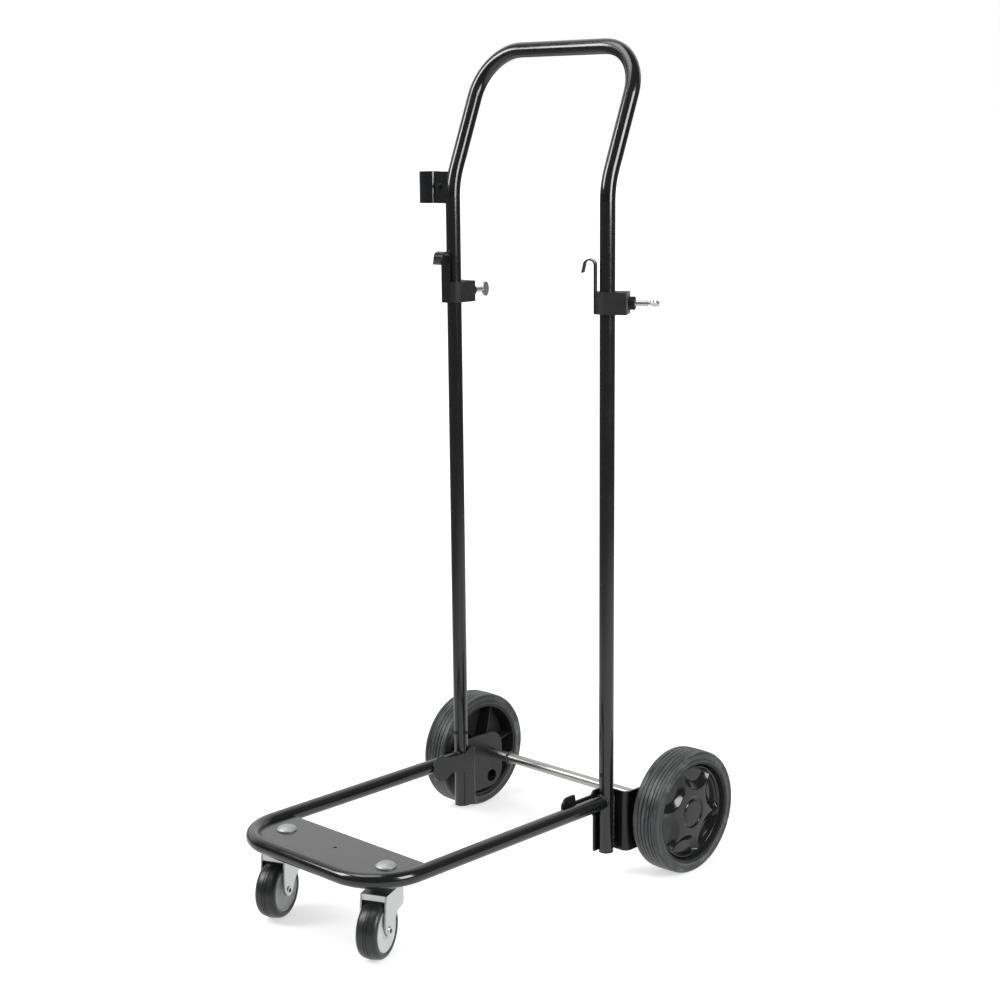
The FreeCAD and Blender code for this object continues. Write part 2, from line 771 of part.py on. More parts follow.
for name, side in (("left", -1), ("right", 1)):
    save("clamp_body_" + name, clamp_body(side))
    save("clamp_hook_" + name, clamp_hook(side))
    save("clamp_plate_" + name, clamp_plate(side))
    save("clamp_knob_" + name, clamp_knob(side))
    save("clamp_screw_" + name, clamp_screw(side))
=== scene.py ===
# %% [markdown]
# # Hotel luggage cart
# This lesson dresses a finished CAD model of a luggage cart: a bent black tube
# handle, a low tube base, two large wheels, two casters, coat hook clamps and a
# pole socket. The CAD model fixes every size and every joint. Blender adds the
# finishes, the moulded and pressed shapes that CAD left plain, and the light.
#
# The CAD frame is loaded first, and its outside box is kept, because nothing
# made here may be larger than the real cart.

# %% Load the CAD frame
import json
import math

import bmesh
import bpy
from mathutils import Matrix, Vector


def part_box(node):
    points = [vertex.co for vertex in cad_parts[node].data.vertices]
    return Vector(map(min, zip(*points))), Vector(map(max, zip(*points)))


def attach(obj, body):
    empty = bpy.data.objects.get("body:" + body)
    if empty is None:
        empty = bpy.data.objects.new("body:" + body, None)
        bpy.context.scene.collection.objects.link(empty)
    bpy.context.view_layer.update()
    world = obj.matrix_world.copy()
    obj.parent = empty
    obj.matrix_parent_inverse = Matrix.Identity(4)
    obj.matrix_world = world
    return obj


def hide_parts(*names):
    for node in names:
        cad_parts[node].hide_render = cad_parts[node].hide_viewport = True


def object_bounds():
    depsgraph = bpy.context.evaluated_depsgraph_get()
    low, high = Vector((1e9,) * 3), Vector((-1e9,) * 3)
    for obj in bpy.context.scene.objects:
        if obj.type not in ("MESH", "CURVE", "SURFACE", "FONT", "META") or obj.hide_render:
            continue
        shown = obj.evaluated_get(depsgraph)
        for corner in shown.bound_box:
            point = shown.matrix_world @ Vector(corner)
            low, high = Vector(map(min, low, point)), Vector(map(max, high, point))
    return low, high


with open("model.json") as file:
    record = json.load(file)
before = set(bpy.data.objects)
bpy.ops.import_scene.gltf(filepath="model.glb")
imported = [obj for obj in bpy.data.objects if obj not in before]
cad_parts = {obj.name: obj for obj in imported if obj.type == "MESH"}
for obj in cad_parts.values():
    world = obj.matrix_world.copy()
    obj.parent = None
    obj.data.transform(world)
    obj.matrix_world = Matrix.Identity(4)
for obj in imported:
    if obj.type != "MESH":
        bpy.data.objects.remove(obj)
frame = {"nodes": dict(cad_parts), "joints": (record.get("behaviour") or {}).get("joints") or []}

cad_box = [list(corner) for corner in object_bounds()]
MM = 0.001
nodes = frame["nodes"]

# %% [markdown]
# Paint charts and pickers give colours as sRGB hex, but a shader works with
# linear light. One function turns the first into the second, so every colour
# below can be written the way a picker shows it.

# %% Colours from hex
def linear(hex_colour):
    channels = [int(hex_colour[i:i + 2], 16) / 255 for i in (1, 3, 5)]
    light = [c / 12.92 if c <= 0.04045 else ((c + 0.055) / 1.055) ** 2.4
             for c in channels]
    return (*light, 1.0)


print("mid grey in linear light:", round(linear("#808080")[0], 3))

# %% [markdown]
# A material is a small tree of nodes. The first helper adds one node, sets its
# options, and fills each input either with a value or with a link. The second
# starts a material with its shader. The third joins the three things that every
# finish here varies over its surface: its colour, its roughness and its bump.

# %% Adding a node
def add_node(tree, kind, inputs=None, **settings):
    node = tree.nodes.new(kind)
    for name, value in settings.items():
        setattr(node, name, value)
    for name, value in (inputs or {}).items():
        if isinstance(value, bpy.types.NodeSocket):
            tree.links.new(value, node.inputs[name])
        else:
            node.inputs[name].default_value = value
    return node


def new_material(name, surface):
    # An empty material with one shader and its output.
    material = bpy.data.materials.new(name)
    material.use_nodes = True
    tree = material.node_tree
    tree.nodes.clear()
    shader = add_node(tree, "ShaderNodeBsdfPrincipled", surface)
    add_node(tree, "ShaderNodeOutputMaterial", {"Surface": shader.outputs[0]})
    place = add_node(tree, "ShaderNodeTexCoord").outputs["Object"]
    return material, tree, shader, place


def connect(tree, shader, tone, gloss, bump):
    tree.links.new(tone.outputs[2], shader.inputs["Base Color"])
    tree.links.new(gloss.outputs[0], shader.inputs["Roughness"])
    tree.links.new(bump.outputs[0], shader.inputs["Normal"])


print("helpers ready")

# %% [markdown]
# **Gloss black powder coat.** The frame tubes, the front plate and the pole
# socket are steel with a baked powder paint. It flows almost smooth in the
# oven, so it mirrors the studio in sharp streaks, but a slight orange peel of
# about 2 mm stays and makes the streaks tremble. Fine dust and handling leave
# the gloss a little uneven. Noise drives both the bump and the roughness.

# %% Gloss black powder coat
gloss_black, tree, shader, place = new_material("gloss_black_powder_coat", {
    "IOR": 1.5, "Coat Weight": 0.35, "Coat Roughness": 0.06})
peel = add_node(tree, "ShaderNodeTexNoise", {
    "Vector": place, "Scale": 1 / (2.2 * MM), "Detail": 2.0, "Roughness": 0.5})
wear = add_node(tree, "ShaderNodeTexNoise", {
    "Vector": place, "Scale": 1 / (28 * MM), "Detail": 6.0, "Roughness": 0.62})
tone = add_node(tree, "ShaderNodeMix", {
    0: wear.outputs["Fac"], 6: linear("#0f1011"), 7: linear("#17181a")},
    data_type="RGBA")
gloss = add_node(tree, "ShaderNodeMapRange", {
    "Value": wear.outputs["Fac"], "From Min": 0.3, "From Max": 0.75,
    "To Min": 0.13, "To Max": 0.24})
bump = add_node(tree, "ShaderNodeBump", {
    "Height": peel.outputs["Fac"], "Strength": 0.12, "Distance": 0.05 * MM})
connect(tree, shader, tone, gloss, bump)
print("made", gloss_black.name)

# %% [markdown]
# **Satin black paint.** The wheel brackets are folded from 3 mm sheet and have
# a thinner, duller coat than the tubes. It spreads reflections into a soft
# grey, with a finer grain of about 0.8 mm and faint rubbed patches.

# %% Satin black paint
satin_black, tree, shader, place = new_material("satin_black_paint", {"IOR": 1.5})
grain = add_node(tree, "ShaderNodeTexNoise", {
    "Vector": place, "Scale": 1 / (0.8 * MM), "Detail": 3.0})
rub = add_node(tree, "ShaderNodeTexNoise", {
    "Vector": place, "Scale": 1 / (16 * MM), "Detail": 5.0, "Roughness": 0.6})
tone = add_node(tree, "ShaderNodeMix", {
    0: rub.outputs["Fac"], 6: linear("#0e0f11"), 7: linear("#17181a")},
    data_type="RGBA")
gloss = add_node(tree, "ShaderNodeMapRange", {
    "Value": rub.outputs["Fac"], "From Min": 0.3, "From Max": 0.7,
    "To Min": 0.26, "To Max": 0.36})
bump = add_node(tree, "ShaderNodeBump", {
    "Height": grain.outputs["Fac"], "Strength": 0.035, "Distance": 0.04 * MM})
connect(tree, shader, tone, gloss, bump)
print("made", satin_black.name)

# %% [markdown]
# **Moulded matt black.** The clamp blocks and the wheel centres are moulded
# plastic with a spark-eroded texture: a fine pebble, about 0.5 mm on the real
# part, that takes nearly all shine away. Voronoi cells give that pebble, drawn
# at 0.7 mm so that it still shows.

# %% Moulded matt black
moulded_black, tree, shader, place = new_material("moulded_matt_black", {"IOR": 1.46})
pebble = add_node(tree, "ShaderNodeTexVoronoi", {
    "Vector": place, "Scale": 1 / (0.7 * MM)}, feature="SMOOTH_F1")
cloud = add_node(tree, "ShaderNodeTexNoise", {
    "Vector": place, "Scale": 1 / (12 * MM), "Detail": 4.0})
tone = add_node(tree, "ShaderNodeMix", {
    0: cloud.outputs["Fac"], 6: linear("#161616"), 7: linear("#1f2020")},
    data_type="RGBA")
gloss = add_node(tree, "ShaderNodeMapRange", {
    "Value": cloud.outputs["Fac"], "From Min": 0.3, "From Max": 0.7,
    "To Min": 0.5, "To Max": 0.62})
bump = add_node(tree, "ShaderNodeBump", {
    "Height": pebble.outputs["Distance"], "Strength": 0.2, "Distance": 0.05 * MM})
connect(tree, shader, tone, gloss, bump)
print("made", moulded_black.name)

# %% [markdown]
# **Polished moulded black.** The hubcaps come from a polished mould, so they
# are nearly as glossy as paint. Hot plastic shrinks a little as it cools and
# leaves very shallow waves, about 14 mm long, and fine hairline scuffs.

# %% Polished moulded black
polished_black, tree, shader, place = new_material("polished_moulded_black", {
    "IOR": 1.49})
wave = add_node(tree, "ShaderNodeTexNoise", {
    "Vector": place, "Scale": 1 / (14 * MM), "Detail": 1.0})
scuff = add_node(tree, "ShaderNodeTexNoise", {
    "Vector": place, "Scale": 1 / (5 * MM), "Detail": 8.0, "Roughness": 0.7})
tone = add_node(tree, "ShaderNodeMix", {
    0: scuff.outputs["Fac"], 6: linear("#101112"), 7: linear("#18191a")},
    data_type="RGBA")
gloss = add_node(tree, "ShaderNodeMapRange", {
    "Value": scuff.outputs["Fac"], "From Min": 0.35, "From Max": 0.7,
    "To Min": 0.11, "To Max": 0.19})
bump = add_node(tree, "ShaderNodeBump", {
    "Height": wave.outputs["Fac"], "Strength": 0.12, "Distance": 0.3 * MM})
connect(tree, shader, tone, gloss, bump)
print("made", polished_black.name)

# %% [markdown]
# **Black oxide hardware.** Small nuts, rivets and races are blackened in a hot
# bath. The film is thin, so the steel below still gives a dull metallic sheen.

# %% Black oxide hardware
black_oxide, tree, shader, place = new_material("black_oxide_steel", {
    "Metallic": 0.6})
mottle = add_node(tree, "ShaderNodeTexNoise", {
    "Vector": place, "Scale": 1 / (3 * MM), "Detail": 5.0, "Roughness": 0.6})
tone = add_node(tree, "ShaderNodeMix", {
    0: mottle.outputs["Fac"], 6: linear("#161617"), 7: linear("#2a2b2c")},
    data_type="RGBA")
gloss = add_node(tree, "ShaderNodeMapRange", {
    "Value": mottle.outputs["Fac"], "To Min": 0.28, "To Max": 0.44})
bump = add_node(tree, "ShaderNodeBump", {
    "Height": mottle.outputs["Fac"], "Strength": 0.1, "Distance": 0.05 * MM})
connect(tree, shader, tone, gloss, bump)
print("made", black_oxide.name)

# %% [markdown]
# **Bright drawn steel.** The axle is a drawn bar. Drawing pulls every scratch
# out along its length, so the noise is stretched along X: 0.35 mm across, drawn
# at 0.9 mm to show, and several centimetres long. The streaks change the
# colour, the gloss and the bump together.

# %% Bright drawn steel
drawn_steel, tree, shader, place = new_material("bright_drawn_steel", {
    "Metallic": 1.0})
along = add_node(tree, "ShaderNodeMapping", {
    "Vector": place, "Scale": (0.012, 1.0, 1.0)})
streak = add_node(tree, "ShaderNodeTexNoise", {
    "Vector": along.outputs[0], "Scale": 1 / (0.9 * MM), "Detail": 5.0,
    "Roughness": 0.62})
tone = add_node(tree, "ShaderNodeMix", {
    0: streak.outputs["Fac"], 6: linear("#8a8c8a"), 7: linear("#cfd0cc")},
    data_type="RGBA")
gloss = add_node(tree, "ShaderNodeMapRange", {
    "Value": streak.outputs["Fac"], "From Min": 0.3, "From Max": 0.7,
    "To Min": 0.24, "To Max": 0.42})
bump = add_node(tree, "ShaderNodeBump", {
    "Height": streak.outputs["Fac"], "Strength": 0.35, "Distance": 0.05 * MM})
connect(tree, shader, tone, gloss, bump)
print("made", drawn_steel.name)

# %% [markdown]
# **Bright zinc plate.** The caster forks, bolts and thumb screws are pressed or
# turned steel with a thin zinc coat. Zinc looks whiter and softer than chrome,
# with cloudy patches a few millimetres wide left by the plating bath.

# %% Bright zinc plate
zinc, tree, shader, place = new_material("bright_zinc_plate", {"Metallic": 1.0})
bath = add_node(tree, "ShaderNodeTexNoise", {
    "Vector": place, "Scale": 1 / (7 * MM), "Detail": 5.0, "Roughness": 0.58})
fine = add_node(tree, "ShaderNodeTexNoise", {
    "Vector": place, "Scale": 1 / (0.6 * MM), "Detail": 2.0})
tone = add_node(tree, "ShaderNodeMix", {
    0: bath.outputs["Fac"], 6: linear("#bcc0c0"), 7: linear("#dcdedb")},
    data_type="RGBA")
gloss = add_node(tree, "ShaderNodeMapRange", {
    "Value": bath.outputs["Fac"], "From Min": 0.3, "From Max": 0.7,
    "To Min": 0.26, "To Max": 0.42})
bump = add_node(tree, "ShaderNodeBump", {
    "Height": fine.outputs["Fac"], "Strength": 0.15, "Distance": 0.03 * MM})
connect(tree, shader, tone, gloss, bump)
print("made", zinc.name)

# %% [markdown]
# **Barrel-plated zinc.** Bolt heads are plated loose in a turning barrel, where
# they rub on each other. The zinc is the same but the shine is gone: a grey
# frost about 1.2 mm in grain, so the heads read as plain light grey discs.

# %% Barrel-plated zinc
frosted_zinc, tree, shader, place = new_material("barrel_plated_zinc", {
    "Metallic": 1.0})
frost = add_node(tree, "ShaderNodeTexNoise", {
    "Vector": place, "Scale": 1 / (1.2 * MM), "Detail": 4.0, "Roughness": 0.6})
tone = add_node(tree, "ShaderNodeMix", {
    0: frost.outputs["Fac"], 6: linear("#9ea2a2"), 7: linear("#bfc3c2")},
    data_type="RGBA")
gloss = add_node(tree, "ShaderNodeMapRange", {
    "Value": frost.outputs["Fac"], "From Min": 0.3, "From Max": 0.7,
    "To Min": 0.5, "To Max": 0.66})
bump = add_node(tree, "ShaderNodeBump", {
    "Height": frost.outputs["Fac"], "Strength": 0.12, "Distance": 0.05 * MM})
connect(tree, shader, tone, gloss, bump)
print("made", frosted_zinc.name)

# %% [markdown]
# **Light grey nylon.** The caster wheels turn on a moulded nylon centre. Nylon
# is slightly waxy, so it gets a little light under its surface, and a satin
# grain of about 0.6 mm.

# %% Light grey nylon
grey_nylon, tree, shader, place = new_material("light_grey_nylon", {
    "IOR": 1.53, "Subsurface Weight": 0.08, "Subsurface Scale": 1.5 * MM})
grain = add_node(tree, "ShaderNodeTexNoise", {
    "Vector": place, "Scale": 1 / (0.6 * MM), "Detail": 2.0})
dust = add_node(tree, "ShaderNodeTexNoise", {
    "Vector": place, "Scale": 1 / (9 * MM), "Detail": 5.0, "Roughness": 0.6})
tone = add_node(tree, "ShaderNodeMix", {
    0: dust.outputs["Fac"], 6: linear("#b4b8b9"), 7: linear("#c8cccc")},
    data_type="RGBA")
gloss = add_node(tree, "ShaderNodeMapRange", {
    "Value": dust.outputs["Fac"], "To Min": 0.36, "To Max": 0.5})
bump = add_node(tree, "ShaderNodeBump", {
    "Height": grain.outputs["Fac"], "Strength": 0.12, "Distance": 0.04 * MM})
connect(tree, shader, tone, gloss, bump)
print("made", grey_nylon.name)

# %% [markdown]
# **Tyre rubber.** The big tyres are solid black rubber. The mould and the
# floor leave fine lines that run round the tread, so the noise is tight across
# the tyre, about 1 mm and drawn at 2.6 mm so that it shows, and long round it.
# Its crests are scuffed light grey. Dust sits in broad patches and lifts the
# black to charcoal.

# %% Tyre rubber
tyre_rubber, tree, shader, place = new_material("tyre_rubber", {
    "IOR": 1.52, "Sheen Weight": 0.08, "Sheen Roughness": 0.5})
round_tyre = add_node(tree, "ShaderNodeMapping", {
    "Vector": place, "Scale": (1.0, 0.06, 0.06)})
line = add_node(tree, "ShaderNodeTexNoise", {
    "Vector": round_tyre.outputs[0], "Scale": 1 / (2.6 * MM), "Detail": 3.0,
    "Roughness": 0.7})
scuff = add_node(tree, "ShaderNodeMapRange", {
    "Value": line.outputs["Fac"], "From Min": 0.54, "From Max": 0.7,
    "To Max": 0.6})
dust = add_node(tree, "ShaderNodeTexNoise", {
    "Vector": place, "Scale": 1 / (22 * MM), "Detail": 6.0, "Roughness": 0.65})
level = add_node(tree, "ShaderNodeMapRange", {
    "Value": dust.outputs["Fac"], "From Min": 0.3, "From Max": 0.7})
tone = add_node(tree, "ShaderNodeMix", {
    0: level.outputs[0], 6: linear("#1c1d1e"), 7: linear("#313435")},
    data_type="RGBA")
worn = add_node(tree, "ShaderNodeMix", {
    0: scuff.outputs[0], 6: tone.outputs[2], 7: linear("#6f7675")},
    data_type="RGBA")
gloss = add_node(tree, "ShaderNodeMapRange", {
    "Value": level.outputs[0], "To Min": 0.33, "To Max": 0.52})
bump = add_node(tree, "ShaderNodeBump", {
    "Height": line.outputs["Fac"], "Strength": 0.3, "Distance": 0.12 * MM})
connect(tree, shader, worn, gloss, bump)
print("made", tyre_rubber.name)

# %% [markdown]
# **Caster rubber.** The small tyres are a harder, shinier rubber. They pick up
# grit, so a speckle of about 1.5 mm breaks the shine.

# %% Caster rubber
caster_rubber, tree, shader, place = new_material("caster_rubber", {"IOR": 1.52})
grit = add_node(tree, "ShaderNodeTexNoise", {
    "Vector": place, "Scale": 1 / (1.5 * MM), "Detail": 4.0, "Roughness": 0.6})
film = add_node(tree, "ShaderNodeTexNoise", {
    "Vector": place, "Scale": 1 / (12 * MM), "Detail": 5.0, "Roughness": 0.6})
tone = add_node(tree, "ShaderNodeMix", {
    0: film.outputs["Fac"], 6: linear("#141515"), 7: linear("#2b2d2e")},
    data_type="RGBA")
gloss = add_node(tree, "ShaderNodeMapRange", {
    "Value": grit.outputs["Fac"], "From Min": 0.3, "From Max": 0.7,
    "To Min": 0.27, "To Max": 0.45})
bump = add_node(tree, "ShaderNodeBump", {
    "Height": grit.outputs["Fac"], "Strength": 0.15, "Distance": 0.08 * MM})
connect(tree, shader, tone, gloss, bump)
print("made", caster_rubber.name)

# %% [markdown]
# Each CAD node keeps its mesh and only gets its finish. The table pairs the
# start of a node's name with the finish of the real piece.

# %% Finishes on the CAD nodes
finishes = {
    "handle_frame": gloss_black, "base_frame": gloss_black,
    "front_plate": gloss_black, "pole_socket": gloss_black,
    "bracket": satin_black, "clamp_body": moulded_black,
    "clamp_hook": gloss_black, "clamp_plate": zinc, "clamp_knob": black_oxide,
    "clamp_screw": zinc, "upright_rivets": black_oxide,
    "upright_plugs": moulded_black, "socket_bolt": black_oxide,
    "socket_nut": black_oxide, "axle": drawn_steel, "axle_spacers": zinc,
    "axle_retainers": zinc, "rear_tyre": tyre_rubber,
    "rear_rim": moulded_black, "rear_bush": drawn_steel,
    "rear_hubcap": polished_black, "kingpin": frosted_zinc,
    "swivel_cup": black_oxide, "swivel_balls": drawn_steel,
    "caster_fork": zinc, "caster_axle": zinc,
    "caster_core": grey_nylon, "caster_bush": drawn_steel,
    "caster_tyre": caster_rubber}


def finish_for(name):
    starts = [start for start in finishes if name.startswith(start)]
    return finishes[max(starts, key=len)]


for name, node in nodes.items():
    node.data.materials.clear()
    node.data.materials.append(finish_for(name))
print("finished", len(nodes), "nodes")

# %% [markdown]
# A new piece starts as a bmesh and always ends the same way: doubles merged,
# faces turned outward, smooth shading with creases kept, one finish, and the
# name of the CAD body that it moves with. Where it stands for CAD nodes, those
# are hidden.

# %% Keeping a piece
def keep_piece(name, work, finish, body, stands_for=(), crease=38):
    bmesh.ops.remove_doubles(work, verts=work.verts, dist=0.005 * MM)
    bmesh.ops.recalc_face_normals(work, faces=work.faces)
    mesh = bpy.data.meshes.new(name)
    work.to_mesh(mesh)
    work.free()
    if "custom_normal" in mesh.attributes:
        mesh.attributes.remove(mesh.attributes["custom_normal"])
    mesh.shade_smooth()
    mesh.set_sharp_from_angle(angle=math.radians(crease))
    mesh.materials.append(finish)
    piece = bpy.data.objects.new(name, mesh)
    bpy.context.scene.collection.objects.link(piece)
    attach(piece, body)
    if stands_for:
        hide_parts(*stands_for)
    print(name, "faces:", len(mesh.polygons))


# %% [markdown]
# Wheels are round, so they are turned as on a lathe: the section is drawn once
# as (distance along the axle, radius) in millimetres, and spin carries it round
# the X axis. Each section is drawn for a wheel at the origin and then placed.

# %% Turning a section
def turned(section, steps, closed=True):
    work = bmesh.new()
    points = [work.verts.new((along * MM, 0, radius * MM))
              for along, radius in section]
    ends = points[1:] + points[:1] if closed else points[1:]
    edges = [work.edges.new(pair) for pair in zip(points, ends)]
    bmesh.ops.spin(work, geom=points + edges, cent=(0, 0, 0), axis=(1, 0, 0),
                   angle=math.tau, steps=steps, use_merge=True)
    return work


def middle_and_size(node):
    low, high = (Vector(corner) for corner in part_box(node))
    return (low + high) / 2, high - low


def rear_wheel_place(side):
    # At the middle of the tyre's outer face, with +X pointing outward.
    middle, size = middle_and_size("rear_tyre_" + side)
    sign = 1 if side == "right" else -1
    middle.x += sign * size.x / 2
    turn = Matrix.Rotation(0 if sign > 0 else math.pi, 4, "Z")
    return Matrix.Translation(middle) @ turn


tyre_size = middle_and_size("rear_tyre_right")[1] / MM
rim_size = middle_and_size("rear_rim_right")[1] / MM
print("tyre:", [round(v, 1) for v in tyre_size])

# %% [markdown]
# **Rear tyres.** A solid rubber tyre comes out of its mould with a rounded
# shoulder, a thin raised bead where it grips the wheel, and five narrow grooves
# round a slightly crowned tread. All of it is one section, so turning is
# enough. Grooves cut as real steps catch the light better than a bump would.

# %% Rear tyres
groove_places = (-13.6, -8.2, -1.6, 5.0, 11.4)
groove_depth = 1.0
groove_half_width = 0.8
groove_half_floor = 0.45
crown_drop = 0.0025


def tyre_section(width, outer, bead):
    side = [(1.6, bead), (0.7, bead + 0.4), (0.1, bead + 1.4), (0, bead + 2.5),
            (0.5, bead + 3.6), (1.0, bead + 4.4), (1.1, outer - 8),
            (0.6, outer - 5.4), (0.7, outer - 3.4), (1.7, outer - 1.8),
            (3.2, outer - 0.9), (5.0, outer - 0.5)]
    tread = []
    for offset in groove_places:
        middle = width / 2 + offset
        crown = outer - crown_drop * offset ** 2
        floor = crown - groove_depth
        tread += [(middle - groove_half_width, crown),
                  (middle - groove_half_floor, floor),
                  (middle + groove_half_floor, floor),
                  (middle + groove_half_width, crown)]
    other = [(width - along, radius) for along, radius in reversed(side)]
    return [(-along, radius) for along, radius in side + tread + other]


for side in ("left", "right"):
    section = tyre_section(tyre_size.x, tyre_size.z / 2, rim_size.z / 2)
    tyre = turned(section, 144)
    bmesh.ops.transform(tyre, matrix=rear_wheel_place(side), verts=tyre.verts)
    keep_piece("tyre_grooved_" + side, tyre, tyre_rubber, "rear_wheel_" + side,
               ["rear_tyre_" + side])

# %% [markdown]
# **Hubcaps.** Each wheel is closed by a pressed-in cover of polished plastic: a
# shallow dome with a thin raised lip, six scalloped pockets that leave a
# star-shaped face between them, and a plain ring groove round the middle. The
# dome and its lip are turned. The pockets are then pushed in by moving the
# vertices, as a sculptor would: deep at once at their edge, flat further in.

# %% Hubcaps
cap_radius = 68.6
face_radius = 65.2
dome_top = 3.2
dome_fall = 4.6
pocket_count = 6
first_pocket = 18
pocket_middle = 66.4
pocket_radius = 33.2
pocket_depth = 6.6
pocket_wall = 11
ring_radius = 20
ring_half_width = 3.4
ring_depth = 1.9
ring_steepness = 1.9


def cap_section():
    rings = [radius * 1.05 for radius in range(62)]
    face = [(-dome_top - dome_fall * (radius / 65) ** 2, radius)
            for radius in rings]
    lip = [(-7.4, face_radius), (-6.9, 66.1), (-7.1, 67.0), (-8.2, 67.8),
           (-11.0, 68.3), (-15.5, cap_radius)]
    return face + lip


def pocket(y, z):
    radius = math.hypot(y, z)
    deepest = 0
    for step in range(pocket_count):
        turn = math.radians(first_pocket + 360 / pocket_count * step)
        away = math.hypot(y - pocket_middle * math.cos(turn),
                          z - pocket_middle * math.sin(turn))
        inward = min(max((pocket_radius - away) / pocket_wall, 0), 1)
        deepest = max(deepest, pocket_depth * (1 - (1 - inward) ** 1.35))
    # The pockets run out just inside the lip, and the ring groove is added.
    edge = min(max((face_radius - radius) / 3.2, 0), 1)
    ring = max(1 - abs(radius - ring_radius) / ring_half_width, 0)
    return deepest * edge ** 0.6 + ring_depth * min(ring * ring_steepness, 1)


for side in ("left", "right"):
    cap = turned(cap_section(), 180, closed=False)
    for point in cap.verts:
        point.co.x -= pocket(point.co.y / MM, point.co.z / MM) * MM
    bmesh.ops.transform(cap, matrix=rear_wheel_place(side), verts=cap.verts)
    keep_piece("hubcap_scalloped_" + side, cap, polished_black,
               "rear_wheel_" + side,
               ["rear_hubcap_" + side], crease=50)

# %% [markdown]
# **Caster wheels.** A caster points wherever it was last pushed, so its wheel
# is placed from its joint: the joint's position is the middle of the wheel and
# its axis is the axle. The tyre has round shoulders and two fine mould lines
# beside the middle of the tread. The nylon centre has a thin raised rim and a
# low hub, with a flat dish between them.

# %% Caster wheels
def caster_place(side):
    joint = next(j for j in frame["joints"] if j["name"] == "caster_spin_" + side)
    axle = Vector(joint["axis"])
    turn = Matrix.Rotation(math.atan2(axle.y, axle.x), 4, "Z")
    return Matrix.Translation(joint["pos_m"]) @ turn


def both_sides(half):
    # A half section from the middle outward, and its mirror image.
    return half + [(-along, radius) for along, radius in reversed(half)]


shoulder = [(6.4 + 8.4 * math.cos(math.radians(turn)),
             33.4 + 5.9 * math.sin(math.radians(turn)))
            for turn in range(90, -1, -10)]
mould_line = [(1.4, 39.98), (1.7, 39.3), (2.1, 39.3), (2.4, 39.95)]
side_wall = [(14.9, 31.4), (14.5, 30.2), (13.8, 29.5)]
caster_tread = mould_line + shoulder + side_wall
nylon = [(13.9, 29.4), (14.1, 28.6), (13.9, 27.6), (13.0, 26.9), (12.4, 25.8),
         (12.4, 12.6), (13.0, 11.6), (14.2, 10.9), (14.5, 10.0), (14.5, 7.05)]
caster_pieces = (
    ("caster_tread_", caster_tread, caster_rubber, "caster_rubber", "caster_tyre_"),
    ("caster_centre_", nylon, grey_nylon, "grey_plastic", "caster_core_"))
for side in ("left", "right"):
    for name, half, finish, slot, node in caster_pieces:
        wheel = turned(both_sides(half), 96)
        bmesh.ops.transform(wheel, matrix=caster_place(side), verts=wheel.verts)
        keep_piece(name + side, wheel, finish, "caster_wheel_" + side,
                   [node + side])

# %% [markdown]
# **Eased edges.** Sheet metal and moulded blocks never end in a knife edge:
# paint, plating and tumbling round them by half a millimetre, and that edge
# draws a thin line of light. The CAD shape is copied, its flat faces are made
# whole again, and only its sharp edges are bevelled.

# %% Eased edges
flat_angle = math.radians(1)
sharp_angle = math.radians(40)


def eased(name, node, width, finish, body):
    work = bmesh.new()
    work.from_mesh(nodes[node].data)
    bmesh.ops.remove_doubles(work, verts=work.verts, dist=0.002 * MM)
    bmesh.ops.dissolve_limit(work, angle_limit=flat_angle, verts=work.verts,
                             edges=work.edges)
    sharp = [edge for edge in work.edges
             if edge.is_manifold and edge.calc_face_angle() > sharp_angle]
    bmesh.ops.bevel(work, geom=sharp, offset=width * MM, offset_type="OFFSET",
                    affect="EDGES", segments=2, profile=0.5, material=-1,
                    clamp_overlap=True)
    keep_piece(name, work, finish, body, [node], crease=20)


for side in ("left", "right"):
    eased("wheel_bracket_" + side, "bracket_" + side, 0.6, satin_black,
          "frame")
    eased("pressed_fork_" + side, "caster_fork_" + side, 0.45, zinc,
          "caster_swivel_" + side)
    eased("clamp_block_" + side, "clamp_body_" + side, 0.8, moulded_black,
          "clamp_" + side)
    eased("clamp_strip_" + side, "clamp_hook_" + side, 0.4, gloss_black,
          "clamp_" + side)
eased("caster_plate", "front_plate", 0.8, gloss_black, "frame")

# %% [markdown]
# **Base tube.** The base is one bent tube whose two ends are sawn square and
# butted against the front of the uprights. The CAD model runs them a few
# millimetres further, shaped round the uprights. Here a plane cuts them square,
# and the rings left at each end, outside and inside the wall, are bridged.

# %% Base tube with square ends
low, high = (Vector(corner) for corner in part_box("base_frame"))
tube = (high.z - low.z) / 2
upright_x = high.x - tube
plug_low, plug_high = (Vector(corner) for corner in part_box("upright_plugs"))
upright_y = (plug_low.y + plug_high.y) / 2
base_z = (low.z + high.z) / 2
saw_gap = 0.3 * MM
base = bmesh.new()
base.from_mesh(nodes["base_frame"].data)
bmesh.ops.remove_doubles(base, verts=base.verts, dist=0.002 * MM)
cut = bmesh.ops.bisect_plane(
    base, geom=base.verts[:] + base.edges[:] + base.faces[:], dist=0.001 * MM,
    plane_co=(0, upright_y - tube - saw_gap, 0), plane_no=(0, 1, 0),
    clear_outer=True)["geom_cut"]
rims = [edge for edge in cut if isinstance(edge, bmesh.types.BMEdge)]
for sign in (-1, 1):
    pair = [edge for edge in rims if edge.verts[0].co.x * sign > 0]
    bmesh.ops.bridge_loops(base, edges=pair)
keep_piece("base_tube", base, gloss_black, "frame",
           ["base_frame"], crease=30)

# %% [markdown]
# **Weld beads.** The frame is welded and then painted over, so every joint
# carries a small rippled bead. A bead round a tube is a small circle spun round
# the joint. Where the base tube butts against the upright, its bead is then
# bent back at the sides, because the upright curves away there. Straight beads
# are thin rods, cut into short lengths and rippled by moving their vertices.

# %% Weld beads
ripple_height = 0.2
ripples = 18
ripple_turn = 2.4


